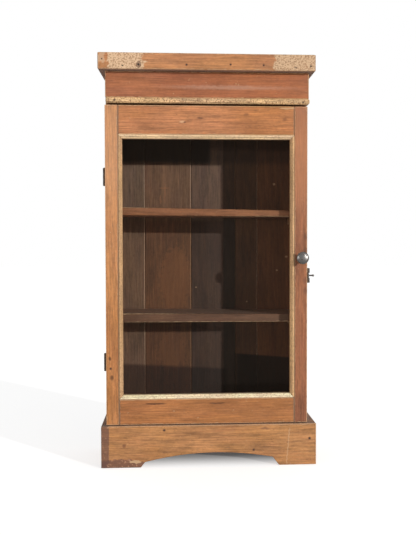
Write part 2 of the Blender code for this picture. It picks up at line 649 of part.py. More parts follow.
def build_cabinet():
    clear_scene()
    wood = make_material("stained_wood", (0.36, 0.15, 0.07), 0.45)
    inner_wood = make_material("inner_wood", (0.20, 0.085, 0.045), 0.6)
    pale_wood = make_material("bare_pine", (0.62, 0.42, 0.24), 0.65)
    iron = make_material("dark_iron", (0.10, 0.10, 0.10), 0.45, metallic=0.9)
    glass = make_material("window_glass", (0.9, 0.93, 0.92), 0.03, alpha=0.2)

    make_sides(wood)
    make_carcase_boards(inner_wood)
    make_back_planks(inner_wood)
    make_shelf("upper_shelf", UPPER_SHELF_LEFT_END, UPPER_SHELF_RIGHT_END, wood)
    make_shelf("lower_shelf", LOWER_SHELF_LEFT_END, LOWER_SHELF_RIGHT_END, wood)
    make_frieze(wood, pale_wood)
    make_cornice(wood)
    make_plinth(wood)
    make_keeper(iron)

    left_stile, right_stile, *rails = make_door_frame(wood)
    door_pieces = make_glazing(pale_wood, wood, glass) + make_knob(iron, right_stile)
    side = bpy.data.objects["side_panel_left"]
    side.modifiers.clear()
    for level, centre_z in zip(("lower", "upper"), HINGE_CENTRES):
        door_pieces += make_hinge(level, centre_z, iron, left_stile, side)[1]
    for carved in (left_stile, right_stile, side):
        soften(carved)
    door_pieces += [left_stile, right_stile, make_bolt_housing(iron)] + rails

    hinge_place = world_point(HINGE_AXIS_X, HINGE_AXIS_DEPTH, 0.0)
    door_axis = make_empty("door_axis", hinge_place)
    carry(door_pieces, door_axis, hinge_place)
    bolt_place = world_point(DOOR_RIGHT, BOLT_KNOB_DEPTH, BOLT_Z)
    bolt_axis = make_empty("bolt_axis", bolt_place, door_axis)
    carry([make_slide_bolt(iron)], bolt_axis, bolt_place)


build_cabinet()
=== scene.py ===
"""Looks of the small glazed bookcase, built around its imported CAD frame.

Metres, +Z up; the front looks along -Y and the door's hinges are at -X.
The places of marks are millimetres in the same frame, and colours are sRGB, 0 to 255.
"""
import math
import random

import bmesh
import bpy
from mathutils import Matrix, Vector


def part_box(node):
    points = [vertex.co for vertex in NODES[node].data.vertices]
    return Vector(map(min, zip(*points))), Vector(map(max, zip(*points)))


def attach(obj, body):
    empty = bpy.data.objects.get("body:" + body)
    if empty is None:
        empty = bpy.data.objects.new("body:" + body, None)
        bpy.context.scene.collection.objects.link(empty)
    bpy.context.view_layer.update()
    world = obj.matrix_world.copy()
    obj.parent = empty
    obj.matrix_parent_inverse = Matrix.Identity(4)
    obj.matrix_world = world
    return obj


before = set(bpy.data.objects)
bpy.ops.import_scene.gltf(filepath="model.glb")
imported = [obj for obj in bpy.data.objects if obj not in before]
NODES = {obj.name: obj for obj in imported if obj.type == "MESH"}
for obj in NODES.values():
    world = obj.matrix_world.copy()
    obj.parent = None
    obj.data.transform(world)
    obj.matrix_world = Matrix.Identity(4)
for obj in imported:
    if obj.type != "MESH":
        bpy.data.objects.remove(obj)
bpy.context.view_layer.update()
scene = bpy.context.scene
MM = 0.001

# ---------------------------------------------------------------- camera
# It stands a little left of the middle and above it, and turns towards the cabinet.
FOCAL = 53.75
SENSOR_HEIGHT = 36.0
CAMERA_PLACE = (-0.06271, -1.5596, 0.42267)
CAMERA_YAW = math.radians(3.680)
CAMERA_PITCH = math.radians(-1.841)
CAMERA_ROLL = math.radians(-0.077)
CAMERA_SHIFT = -0.0345
CLIP_START = 0.05
CLIP_END = 60.0


def make_camera():
    lens = bpy.data.cameras.new("camera")
    lens.sensor_fit = "VERTICAL"
    lens.sensor_height = SENSOR_HEIGHT
    lens.lens = FOCAL
    lens.shift_x = CAMERA_SHIFT
    lens.clip_start = CLIP_START
    lens.clip_end = CLIP_END
    camera = bpy.data.objects.new("camera", lens)
    scene.collection.objects.link(camera)
    yaw = Matrix.Rotation(-CAMERA_YAW, 4, "Z")
    pitch = Matrix.Rotation(math.pi / 2 + CAMERA_PITCH, 4, "X")
    roll = Matrix.Rotation(CAMERA_ROLL, 4, "Z")
    camera.matrix_world = Matrix.Translation(CAMERA_PLACE) @ yaw @ pitch @ roll
    scene.camera = camera


# ---------------------------------------------------------------- node graphs
FLOAT = "NodeSocketFloat"
VECTOR = "NodeSocketVector"


class Graph:
    """Short calls for building a material's nodes; a value may be a socket or a constant."""

    def __init__(self, tree):
        self.nodes = tree.nodes
        self.links = tree.links

    def put(self, value, socket):
        if isinstance(value, bpy.types.NodeSocket):
            self.links.new(value, socket)
        elif value is not None:
            if socket.type == "RGBA" and len(value) == 3:
                value = (*value, 1.0)
            socket.default_value = value

    def node(self, kind, inputs=(), **settings):
        node = self.nodes.new(kind)
        for key, value in settings.items():
            setattr(node, key, value)
        for key, value in dict(inputs).items():
            self.put(value, node.inputs[key])
        return node

    def math(self, operation, first, second=None, third=None, clamp=False):
        node = self.node("ShaderNodeMath", operation=operation, use_clamp=clamp)
        for index, value in enumerate((first, second, third)):
            self.put(value, node.inputs[index])
        return node.outputs[0]

    def times(self, first, second):
        return self.math("MULTIPLY", first, second)

    def minus(self, first, second):
        return self.math("SUBTRACT", first, second)

    def multiply_add(self, value, factor, base, clamp=False):
        """base + value * factor."""
        return self.math("MULTIPLY_ADD", value, factor, base, clamp)

    def vary(self, value, amount, base):
        """base, less or more by half of amount as value runs from 0 to 1."""
        return self.multiply_add(self.minus(value, 0.5), amount, base)

    def vector(self, operation, first, second=None):
        node = self.node("ShaderNodeVectorMath", operation=operation)
        self.put(first, node.inputs[0])
        self.put(second, node.inputs[1])
        return node.outputs[0]

    def mix(self, share, first, second, blend="MIX"):
        node = self.node("ShaderNodeMix", data_type="RGBA", blend_type=blend, clamp_factor=True)
        self.put(share, node.inputs[0])
        self.put(first, node.inputs[6])
        self.put(second, node.inputs[7])
        return node.outputs[2]

    def grey(self, value):
        return self.node("ShaderNodeCombineColor", {0: value, 1: value, 2: value}).outputs[0]

    def noise(self, place, cells, detail=3.0, roughness=0.6, distortion=0.0):
        """Noise with so many cells a metre: one number, or one each for X, Y and Z."""
        if not isinstance(cells, tuple):
            cells = (cells, cells, cells)
        values = {"Vector": self.vector("MULTIPLY", place, cells), "Scale": 1.0, "Detail": detail,
                  "Roughness": roughness, "Distortion": distortion}
        return self.node("ShaderNodeTexNoise", values).outputs["Fac"]

    def step(self, value, low, high, out_low=0.0, out_high=1.0):
        """Smooth step from out_low at low to out_high at high."""
        values = {"Value": value, "From Min": low, "From Max": high,
                  "To Min": out_low, "To Max": out_high}
        return self.node("ShaderNodeMapRange", values, interpolation_type="SMOOTHSTEP").outputs[0]

    def place(self):
        """Place in the object's own frame, which is the CAD frame, in metres."""
        return self.node("ShaderNodeTexCoord").outputs["Object"]

    def parts(self, vector):
        return self.node("ShaderNodeSeparateXYZ", {0: vector}).outputs

    def normal(self):
        return self.parts(self.node("ShaderNodeNewGeometry").outputs["Normal"])

    def bump(self, height, strength, distance):
        values = {"Strength": strength, "Distance": distance, "Height": height}
        return self.node("ShaderNodeBump", values).outputs[0]


def new_material(name):
    material = bpy.data.materials.new(name)
    material.use_nodes = True
    graph = Graph(material.node_tree)
    surface = graph.nodes["Principled BSDF"]
    return material, graph, surface


def new_group(name, inputs, outputs):
    """A node group with the named vector and float inputs and its float outputs."""
    tree = bpy.data.node_groups.new(name, "ShaderNodeTree")
    for socket, kind in inputs.items():
        tree.interface.new_socket(socket, in_out="INPUT", socket_type=kind)
    for socket in outputs:
        tree.interface.new_socket(socket, in_out="OUTPUT", socket_type=FLOAT)
    graph = Graph(tree)
    given = graph.node("NodeGroupInput").outputs
    result = graph.node("NodeGroupOutput").inputs
    return tree, graph, given, result


def linear(colour):
    """sRGB 0..255 to linear 0..1."""
    values = [channel / 255 for channel in colour]
    return tuple(v / 12.92 if v <= 0.04045 else ((v + 0.055) / 1.055) ** 2.4 for v in values)


def scaled(colour, factor):
    return tuple(min(channel * factor, 1.0) for channel in colour)


# ---------------------------------------------------------------- wood
# Masks of the grain, from noise: cells a metre along and across the fibres, detail, roughness,
# distortion, and the noise values where the mask starts and is full.
GRAIN_MASKS = {
    "Fibre": (24.0, 560.0, 3.0, 0.6, 0.0, 0.30, 0.70),
    "Streak": (14.0, 120.0, 5.0, 0.66, 0.4, 0.30, 0.70),
    "Blotch": (11.0, 30.0, 5.0, 0.62, 0.0, 0.32, 0.68),
    "Pore": (110.0, 1500.0, 1.0, 0.5, 0.0, 0.64, 0.72),
    "Speck": (260.0, 520.0, 2.0, 0.55, 0.0, 0.66, 0.72),
}
# How far, in metres, two noises bend the growth rings.
RING_WANDER = 0.030
RING_RIPPLE = 0.0035
# Shares of a growth ring's width over which it darkens slowly and then pales quickly.
RING_RISE = (0.05, 0.80)
RING_FALL = (1.0, 0.84)
# Cells a metre along and across the fibres.
CLOUD_CELLS = (9, 34, 34)
MOTTLE_CELLS = (150, 230, 230)
GRAIN_TURN = {"X": (0, 0, 0), "Z": (0, math.pi / 2, 0), "Y": (0, 0, -math.pi / 2)}
# How far each board's grain is shifted at random, along the fibres and then across them, in metres,
# and how far it is turned, in radians.
SHIFT_RANGES = ((-3, 3), (0.05, 0.11), (-0.05, 0.05))
GRAIN_TILT = 0.012
# How strongly each part of the grain shows in the colour, and then in the roughness and relief.
RING_SHARE = 0.80
CLOUD_SHARE = 0.42
PORE_SHARE = 0.30
SPECK_SHARE = 0.45
FIBRE_TINT = 0.36
STREAK_TINT = 0.40
MOTTLE_TINT = 0.50
AMBER = (1.04, 1.02, 0.78)
FIBRE_ROUGHNESS = 0.10
BLOTCH_ROUGHNESS = 0.06
FIBRE_RELIEF = 0.35
RING_RELIEF = -0.25
PORE_RELIEF = -0.5
BUMP_DISTANCE = 0.0006
# How far light and dark tones lie from the average, and how much redder the dark one is.
FRONT_SPREAD = 0.30
PALE_SPREAD = 0.22
INNER_SPREAD = 0.36
DARK_REDNESS = 0.10
# Noise, in cells a metre, that breaks up the edges of masks and of single spots.
WARP_CELLS = 160
SHAKE_CELLS = 120.0
EDGE_CUT = (0.38, 0.62)


def grain_group():
    """Grain in a board's own frame: X runs along the fibres, distances in metres.

    Out come growth rings and the masks of GRAIN_MASKS, all 0..1.
    """
    tree, graph, given, result = new_group(
        "grain", {"Vector": VECTOR, "Pitch": FLOAT}, ("Ring", *GRAIN_MASKS))
    place = given["Vector"]
    wander = graph.noise(place, (2.2, 14.0, 14.0), 3.0, 0.5)
    ripple = graph.noise(place, (9.0, 60.0, 60.0), 2.0, 0.5)
    _, y, z = graph.parts(place)
    radius = graph.math("SQRT", graph.math("ADD", graph.times(y, y), graph.times(z, z)))
    bent = graph.multiply_add(wander, RING_WANDER, radius)
    bent = graph.multiply_add(ripple, RING_RIPPLE, bent)
    phase = graph.math("FRACT", graph.math("DIVIDE", bent, given["Pitch"]))
    rise = graph.step(phase, *RING_RISE)
    fall = graph.step(phase, *RING_FALL)
    graph.put(graph.times(rise, fall), result["Ring"])
    for mask, (along, across, detail, roughness, distortion, low, high) in GRAIN_MASKS.items():
        noise = graph.noise(place, (along, across, across), detail, roughness, distortion)
        graph.put(graph.step(noise, low, high), result[mask])
    return tree


def spot_group():
    """Soft-edged ellipse in the X-Z plane: 1 inside, 0 outside."""
    inputs = {"Vector": VECTOR, "Centre": VECTOR, "Radii": VECTOR, "Soft": FLOAT}
    tree, graph, given, result = new_group("spot", inputs, ("Mask",))
    offset = graph.vector("SUBTRACT", given["Vector"], given["Centre"])
    offset = graph.vector("MULTIPLY", graph.vector("DIVIDE", offset, given["Radii"]), (1, 0, 1))
    length = graph.node("ShaderNodeVectorMath", {0: offset}, operation="LENGTH").outputs["Value"]
    inner = graph.minus(1.0, given["Soft"])
    outer = graph.math("ADD", 1.0, given["Soft"])
    graph.put(graph.step(length, inner, outer, 1.0, 0.0), result["Mask"])
    return tree


GRAIN = grain_group()
SPOT = spot_group()


class Wood:
    """A wood material for one board; marks are added to it before it is finished."""

    def __init__(self, name, grain, tone, seed, contrast=1.0, pitch=4.6, roughness=0.46):
        self.material, self.graph, self.surface = new_material(name)
        graph = self.graph
        self.place = graph.place()
        along = self.grain_place(grain, seed)
        inputs = {"Vector": along, "Pitch": pitch * MM}
        masks = graph.node("ShaderNodeGroup", inputs, node_tree=GRAIN).outputs
        self.colour = self.grain_colour(along, masks, tone, contrast)
        fibre = masks["Fibre"]
        rough = graph.vary(fibre, FIBRE_ROUGHNESS, roughness)
        self.roughness = graph.multiply_add(masks["Blotch"], BLOTCH_ROUGHNESS, rough)
        height = graph.multiply_add(fibre, FIBRE_RELIEF, graph.times(masks["Ring"], RING_RELIEF))
        self.height = graph.multiply_add(masks["Pore"], PORE_RELIEF, height)
        self.warp = graph.noise(self.place, WARP_CELLS)

    def grain_place(self, grain, seed):
        """Place turned so that X runs along the fibres, with the board's own shift and tilt."""
        pick = random.Random(seed)
        shift = [pick.uniform(*ends) for ends in SHIFT_RANGES]
        tilt = [angle + pick.uniform(-GRAIN_TILT, GRAIN_TILT) for angle in GRAIN_TURN[grain]]
        values = {"Vector": self.place, "Rotation": tilt, "Location": shift}
        return self.graph.node("ShaderNodeMapping", values).outputs[0]

    def grain_colour(self, along, masks, tone, contrast):
        graph = self.graph
        light, middle, dark = tone
        streak = masks["Streak"]
        colour = graph.mix(masks["Blotch"], middle, light)
        lines = graph.times(masks["Ring"], graph.multiply_add(streak, 0.55, -0.05, clamp=True))
        colour = graph.mix(graph.times(lines, RING_SHARE * contrast), colour, dark)
        cloud = graph.step(graph.noise(along, CLOUD_CELLS, 4.0, 0.62), 0.36, 0.66)
        amber = tuple(channel * factor for channel, factor in zip(light, AMBER))
        colour = graph.mix(graph.times(cloud, CLOUD_SHARE), colour, amber)
        mottle = graph.noise(along, MOTTLE_CELLS)
        tint = graph.vary(masks["Fibre"], FIBRE_TINT * contrast, 1.0)
        tint = graph.vary(streak, STREAK_TINT * contrast, tint)
        tint = graph.vary(mottle, MOTTLE_TINT * contrast, tint)
        colour = graph.mix(1.0, colour, graph.grey(tint), "MULTIPLY")
        colour = graph.mix(graph.times(masks["Pore"], PORE_SHARE), colour, scaled(dark, 0.6))
        specks = graph.times(masks["Speck"], SPECK_SHARE * contrast)
        return graph.mix(specks, colour, scaled(dark, 0.45))

    # Masks, all 0..1, placed in millimetres.
    def axis(self, name):
        return self.graph.parts(self.place)["XYZ".index(name)]

    def ramp(self, axis, start, full):
        """Rises from 0 at start to 1 at full along an axis, whichever is the higher."""
        return self.graph.step(self.axis(axis), start * MM, full * MM)

    def band(self, axis, low, high, soft):
        """Between two places along an axis, with both ends softened."""
        rise = self.ramp(axis, low - soft, low + soft)
        fall = self.ramp(axis, high + soft, high - soft)
        return self.graph.times(rise, fall)

    def slope_below(self, x1, z1, x2, z2, soft):
        """Everything under the line through two places."""
        graph = self.graph
        slope = (z2 - z1) / (x2 - x1)
        line = graph.multiply_add(self.axis("X"), slope, (z1 - slope * x1) * MM)
        return graph.step(graph.minus(self.axis("Z"), line), soft * MM, -soft * MM)

    def spot(self, x, z, width, height, soft, ragged):
        """An ellipse; ragged is how far noise moves its outline."""
        graph = self.graph
        values = {"Vector": self.place, "Scale": SHAKE_CELLS, "Detail": 3.0}
        noise = graph.node("ShaderNodeTexNoise", values)
        shake = graph.vector("SCALE", noise.outputs["Color"])
        shake.node.inputs["Scale"].default_value = ragged * MM
        place = graph.vector("ADD", self.place, shake)
        # the noise is about 0.5 on average, so the middle moves along with it
        centre = ((x + ragged / 2) * MM, 0.0, (z + ragged / 2) * MM)
        radii = (width / 2 * MM, 1.0, height / 2 * MM)
        inputs = {"Vector": place, "Centre": centre, "Radii": radii, "Soft": soft}
        return graph.node("ShaderNodeGroup", inputs, node_tree=SPOT).outputs["Mask"]

    def edges(self, node, reach):
        """The edges of a box-shaped board: places near two of its faces at once."""
        graph = self.graph
        low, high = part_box(node)
        places = graph.parts(self.place)
        gaps = []
        for index in range(3):
            to_low = graph.minus(places[index], low[index])
            to_high = graph.minus(high[index], places[index])
            gaps.append(graph.math("MINIMUM", to_low, to_high))
        near = graph.math("MINIMUM", gaps[0], gaps[1])
        far = graph.math("MAXIMUM", gaps[0], gaps[1])
        second = graph.math("MAXIMUM", near, graph.math("MINIMUM", far, gaps[2]))
        return graph.step(second, reach * MM, 0.1 * reach * MM)

    def flecks(self, cells, low, high, detail=3.0, roughness=0.6):
        """Scattered flecks where a noise passes from low to high."""
        noise = self.graph.noise(self.place, cells, detail, roughness)
        return self.graph.step(noise, low, high)

    def rough_edge(self, mask, amount):
        """Break a soft mask up with fine noise."""
        return self.graph.step(self.graph.vary(self.warp, amount, mask), *EDGE_CUT)

    # Marks on the surface.
    def paint(self, mask, colour, strength, depth=0.0, roughness=None):
        """Paint a linear colour over the mask; a depth below 0 sinks the surface there."""
        graph = self.graph
        share = graph.times(mask, strength)
        self.colour = graph.mix(share, self.colour, colour)
        if depth:
            self.height = graph.multiply_add(share, depth, self.height)
        if roughness is not None:
            change = graph.times(share, graph.minus(roughness, self.roughness))
            self.roughness = graph.math("ADD", self.roughness, change)

    def shade(self, mask, factors):
        """Multiply the colour by three factors where the mask is on."""
        shaded = self.graph.mix(1.0, self.colour, factors, "MULTIPLY")
        self.colour = self.graph.mix(mask, self.colour, shaded)

    def blot(self, place, size, colour, strength, ragged, soft=0.5, broken=None, **finish):
        """Paint one ellipse; broken breaks its edge up, and finish is depth or roughness."""
        mask = self.spot(*place, *size, soft, ragged)
        if broken is not None:
            mask = self.rough_edge(mask, broken)
        self.paint(mask, linear(colour), strength, **finish)

    def finish(self, bump=0.35):
        graph = self.graph
        graph.put(self.colour, self.surface.inputs["Base Color"])
        graph.put(self.roughness, self.surface.inputs["Roughness"])
        normal = graph.bump(self.height, bump, BUMP_DISTANCE)
        graph.put(normal, self.surface.inputs["Normal"])
        return self.material


def give(names, material):
    for name in names:
        mesh = NODES[name].data
        mesh.materials.clear()
        mesh.materials.append(material)


def tones(colour, spread=FRONT_SPREAD):
    """Light, middle and dark version of a board's average linear colour.

    Green and blue change more than red does, so the dark tone is redder.
    """
    r, g, b = colour
    light = (r * (1 + spread), g * (1 + spread * 1.15), b * (1 + spread * 1.2))
    green_left = 1 - spread * 1.5 - DARK_REDNESS
    blue_left = 1 - spread * 1.6 - DARK_REDNESS
    dark = (r * (1 - spread * 1.1), g * green_left, b * blue_left)
    return tuple(min(channel, 1.0) for channel in light), colour, dark


# ---------------------------------------------------------------- boards and their marks
# Every board table has, by node: grain direction, average colour, seed, contrast.
FRONT_BOARDS = {
    "cornice_front": ("X", (181, 123, 81), 11, 1.0),
    "cornice_left": ("Y", (170, 117, 80), 12, 1.0),
    "cornice_right": ("Y", (170, 117, 80), 13, 1.0),
    "cornice_top_panel": ("X", (160, 122, 94), 31, 1.0),
    "cornice_back_rail": ("X", (140, 104, 80), 32, 1.0),
    "frieze_board": ("X", (160, 98, 66), 14, 0.8),
    "door_rail_top": ("X", (180, 118, 77), 15, 1.0),
    "door_rail_bottom": ("X", (167, 108, 63), 16, 1.0),
    "door_stile_left": ("Z", (190, 130, 83), 17, 1.0),
    "door_stile_right": ("Z", (149, 93, 63), 18, 1.0),
    "plinth_front": ("X", (173, 121, 77), 19, 1.1),
    "plinth_left": ("Y", (162, 113, 76), 20, 1.0),
    "plinth_right": ("Y", (162, 113, 76), 21, 1.0),
    "plinth_back": ("X", (130, 98, 76), 33, 1.0),
    "side_panel_left": ("Z", (168, 110, 76), 22, 1.0),
    "side_panel_right": ("Z", (168, 110, 76), 23, 1.0),
    "upper_shelf": ("X", (148, 93, 62), 24, 0.9),
    "lower_shelf": ("X", (109, 73, 55), 25, 0.9),
    "glazing_strip_left": ("Z", (120, 82, 60), 41, 0.8),
    "glazing_strip_right": ("Z", (120, 82, 60), 42, 0.8),
    "glazing_strip_top": ("X", (120, 82, 60), 43, 0.8),
    "glazing_strip_bottom": ("X", (120, 82, 60), 44, 0.8),
    "upper_shelf_bearer_left": ("Y", (130, 90, 66), 45, 0.8),
    "upper_shelf_bearer_right": ("Y", (130, 90, 66), 46, 0.8),
    "lower_shelf_bearer_left": ("Y", (130, 90, 66), 47, 0.8),
    "lower_shelf_bearer_right": ("Y", (130, 90, 66), 48, 0.8),
}
PALE_BOARDS = {
    "neck_strip": ("X", (214, 176, 133), 51, 1.5),
    # The four beads are one pine, and their different tones are painted light: top and bottom
    # paler, left darker, and the bottom palest as a painted highlight along its edge.
    "glazing_bead_top": ("X", (234, 201, 163), 52, 0.7),
    "glazing_bead_bottom": ("X", (248, 224, 190), 53, 0.7),
    "glazing_bead_left": ("Z", (186, 148, 108), 54, 0.8),
    "glazing_bead_right": ("Z", (207, 166, 122), 55, 0.8),
}
INNER_BOARDS = {
    "top_board": ("X", (65, 46, 33), 61, 0.9),
    "bottom_board": ("X", (112, 82, 64), 62, 0.9),
    "back_plank_1": ("Z", (109, 84, 69), 63, 1.0),
    "back_plank_2": ("Z", (117, 83, 63), 64, 1.1),
    "back_plank_3": ("Z", (102, 75, 63), 65, 1.0),
    "back_plank_4": ("Z", (82, 51, 31), 66, 1.0),
    "back_plank_5": ("Z", (95, 56, 32), 67, 1.0),
}
PALE_PITCH = 3.0
PALE_ROUGHNESS = 0.6
INNER_ROUGHNESS = 0.65

DARK_HOLE = (58, 38, 28)
GOUGE = (96, 58, 36)
NAIL_RUST = (96, 62, 46)
PLINTH_STAIN = (104, 72, 66)
JOINT_DIRT = (116, 86, 72)
# Pale patches on the cornice: from x, to x, colour.
PALE_PATCHES = ((-184, -120, (214, 180, 144)), (122, 202, (204, 170, 134)))
BARE_EDGE = (212, 172, 132)
INNER_EDGE = (206, 170, 144)
DUST = (198, 182, 170)
GRIME = (128, 106, 94)
SCUFF = (138, 90, 62)
# Where the door's rails meet its stiles.
DOOR_JOINTS = ((-169.6, -166.2), (160.6, 163.8))
# How far wear and grime reach in from a board's edges.
WORN_REACH = 2.8
GRIME_REACH = 4.5
INNER_WORN_REACH = 2.0
# What a board keeps of its red, green and blue: under grime beside worn edges, and under painted
# shade on the flat faces of the door's frame, which darkens the gaps above and below the door.
GRIME_FACTORS = (0.74, 0.66, 0.60)
DOOR_GAP_SHADE_FACTORS = (0.25, 0.22, 0.20)
# The speckled stain left on bare pine: most on the neck strip, less on the beads.
NECK_SPECKLE = 0.85
BEAD_SPECKLE = 0.5
# The top panel is dull, where the other boards have the usual shine.
TOP_PANEL_SHINE = 0.1
# The scratch on the plinth: its x at the floor, its lean, and how far it wavers to either side.
SCRATCH_X = 146.4
SCRATCH_LEAN = 0.086
SCRATCH_WAVER = (0.7, -0.4)

# Nail heads by the board that they sit in the front face of: x, z, radius.
NAILS = {
    "cornice_front": [
        (-195.4, 757.6, 1.1), (-157.7, 745.9, 1.3), (-128.4, 748.1, 1.9), (-40.4, 748.6, 1.3),
        (40.8, 750.1, 1.2), (102.4, 749.5, 1.2), (190.5, 749.1, 1.4),
    ],
    "neck_strip": [(-174.1, 685.1, 1.2), (178.2, 683.9, 1.2)],
    "plinth_front": [(-84.2, 69.8, 1.5), (84.1, 29.9, 1.4), (190.7, 50.1, 1.6)],
    "door_stile_left": [(-183.5, 185.6, 1.3)],
}
NAILED_BODIES = {
    "cabinet": ("cornice_front", "neck_strip", "plinth_front"),
    "door": ("door_stile_left",),
}


def nail_rust(wood, node):
    """A rusty hollow round each nail head."""
    for x, z, radius in NAILS.get(node, ()):
        size = (3.6 * radius, 3.6 * radius)
        wood.blot((x, z), size, NAIL_RUST, 0.7, soft=0.55, ragged=1.5, depth=-0.6)


def mark_cornice(wood):
    """Pale patches at both ends, where the stained face has broken away."""
    flecks = wood.flecks((330, 330, 430), 0.43, 0.51, 4.0, 0.65)
    for low, high, colour in PALE_PATCHES:
        patch = wood.rough_edge(wood.band("X", low, high, 11), 1.7)
        wood.paint(patch, scaled(linear(colour), 0.62), 0.60, roughness=0.6)
        fleck = wood.graph.times(patch, flecks)
        wood.paint(fleck, scaled(linear(colour), 1.2), 0.92, depth=0.6)
    wood.blot((-196, 762), (14, 22), (214, 180, 146), 0.6, soft=0.6, ragged=10, broken=1.8)
    wood.blot((-128.4, 748.1), (9, 13), (112, 78, 58), 0.7,
              soft=0.4, ragged=3, broken=0.9, depth=-0.5)
    wood.blot((162.1, 745.9), (6, 3), DARK_HOLE, 0.6, ragged=2, depth=-0.5)


def mark_plinth(wood):
    """A dark stain at the left end and foot, a few blots and a long scratch at the right."""
    graph = wood.graph
    edge = wood.rough_edge(wood.band("X", -203, -187, 3.0), 1.2)
    foot = wood.rough_edge(wood.spot(-165, 4, 96, 24, 0.4, 8), 1.0)
    for stained in (edge, foot):
        wood.paint(stained, linear(PLINTH_STAIN), 0.72)
    flecks = wood.flecks(300, 0.60, 0.66)
    chips = graph.times(flecks, graph.math("MAXIMUM", edge, foot))
    wood.paint(chips, linear((206, 156, 120)), 0.7)
    wood.blot((-139, 11), (22, 6), (212, 174, 132), 0.8, ragged=7, broken=1.6)
    wood.blot((-158.9, 41.4), (6, 8), (120, 74, 48), 0.7, soft=0.6, ragged=3, depth=-0.3)
    wood.blot((105.9, 70.4), (16, 4), (118, 80, 60), 0.6, soft=0.7, ragged=5)
    for z in range(4, 70, 4):
        waver = SCRATCH_WAVER[0] if z % 8 else SCRATCH_WAVER[1]
        place = (SCRATCH_X + SCRATCH_LEAN * z + waver, z)
        wood.blot(place, (1.4, 6.0), BARE_EDGE, 0.55, soft=0.6, ragged=1.5, depth=-0.3)


def dirty_joints(wood):
    """Dark lines where the rails meet the stiles."""
    for low, high in DOOR_JOINTS:
        line = wood.rough_edge(wood.band("X", low, high, 0.8), 0.9)
        wood.paint(line, linear(JOINT_DIRT), 0.55, depth=-0.4)


def mark_top_rail(wood):
    """Small knots, and a scrape at the top right."""
    dirty_joints(wood)
    wood.blot((-48.5, 646.6), (8, 4), (228, 180, 138), 0.8, soft=0.6, ragged=4)
    wood.blot((-44.0, 645.6), (4, 2.4), (112, 70, 48), 0.8, ragged=2)
    wood.blot((-15.1, 653.6), (11, 3.2), (96, 58, 40), 0.85, ragged=3, depth=-0.4)
    wood.blot((-15.1, 653.6), (20, 11), (150, 98, 64), 0.4, soft=0.6, ragged=6)
    wood.blot((71.4, 660.8), (9, 5), (128, 82, 56), 0.6, soft=0.6, ragged=4)
    wood.blot((143.5, 652.3), (8, 6), (140, 88, 58), 0.6, soft=0.6, ragged=4)
    wood.blot((149, 672.7), (28, 2.6), (214, 178, 142), 0.8,
              ragged=3, broken=1.0, depth=-0.4, roughness=0.65)
    wood.shade(wood.band("X", 60, 175, 50), (0.95, 0.90, 0.70))


def mark_bottom_rail(wood):
    """Two long gouges under the glass."""
    dirty_joints(wood)
    for x, z, width in ((-100.4, 118.5, 38), (16.3, 118.2, 30)):
        wood.blot((x, z), (width, 3.2), GOUGE, 0.85, ragged=3, broken=1.1, depth=-0.8)
    wood.paint(wood.band("X", 0, 175, 40), linear((160, 104, 56)), 0.2)


def mark_left_stile(wood):
    """Two holes by the lower hinge; the stile is darker below and paler above."""
    dirty_joints(wood)
    wood.blot((-185.0, 204.6), (5, 7), DARK_HOLE, 0.7, ragged=3, depth=-0.7)
    wood.blot((-181.3, 168.5), (6, 9), (92, 58, 40), 0.7, ragged=4, depth=-0.7)
    wood.shade(wood.band("Z", 70, 310, 70), (0.84, 0.78, 0.66))
    wood.paint(wood.band("Z", 500, 690, 60), linear((214, 164, 130)), 0.30)


def mark_right_stile(wood):
    """Dark handling marks by the knob and the bolt; the stile is paler above."""
    dirty_joints(wood)
    wood.paint(wood.band("Z", 500, 690, 70), linear((204, 136, 90)), 0.5)
    for z, width in ((330, 9), (350, 7), (405, 8), (432, 6)):
        wood.blot((183, z), (width, 12), (102, 66, 48), 0.5, soft=0.6, ragged=4)


def mark_frieze(wood):
    """Two browner stretches, and a band of painted highlight where the surface is also smoother."""
    wood.shade(wood.band("X", 40, 195, 60), (0.97, 0.88, 0.70))
    wood.shade(wood.band("X", -90, 40, 30), (0.93, 0.86, 0.80))
    # painted highlight: a paler band, with lower roughness
    wood.blot((40, 711), (200, 7), (206, 164, 140), 0.42, soft=0.8, ragged=8, roughness=0.3)


# Browner or darker stretches of the back: width range, height range, softness, colour factors.
BACK_SHADES = [
    ((-192, -124), (80, 470), 12, (0.95, 0.87, 0.80)),
    ((-124, -30), (80, 470), 12, (0.74, 0.60, 0.44)),
    ((-124, -30), (80, 270), 12, (0.80, 0.76, 0.74)),
    ((-30, 36), (80, 468), 6, (0.46, 0.40, 0.36)),
    ((36, 61), (80, 700), 2, (0.46, 0.36, 0.24)),
    ((36, 61), (80, 470), 6, (0.50, 0.62, 0.80)),
]
# Redder stretches: middle, size, colour, strength.
BACK_GLOWS = [
    ((-62, 345), (62, 130), (150, 92, 52), 0.34),
    ((-70, 200), (60, 80), (136, 84, 50), 0.26),
]
# Pale scratches, upright and level: x, z, width, height. Pale specks: x, z, size.
BACK_SCRATCHES = ((-83, 522, 3, 44), (-84, 532, 20, 3), (-92, 508, 4, 18))
BACK_SPECKS = ((140.5, 540.3, 5), (166.0, 392.3, 5), (146.5, 364.1, 4), (-20.0, 330.0, 3),
               (84.0, 300.0, 3))
# Dark stretches at the foot: the line that they lie under, its softness, the ramp along X that
# ends them, colour factors.
FOOT_SHADES = [
    ((-163, 173.5, 30, 163.0), 4.0, (52, 34), (0.34, 0.27, 0.26)),
    ((68, 192.7, 168, 184.3), 2.5, (52, 68), (0.14, 0.14, 0.15)),
]
# Painted shade at the top of the back, in the shadow of the top rail: it starts along Z, and is
# darkest to the left of a ramp along X, where the left stile also shades it from the fill.
TOP_SHADE_RAMP = (575, 590)
TOP_SHADE_LEFT_RAMP = (14, 4)


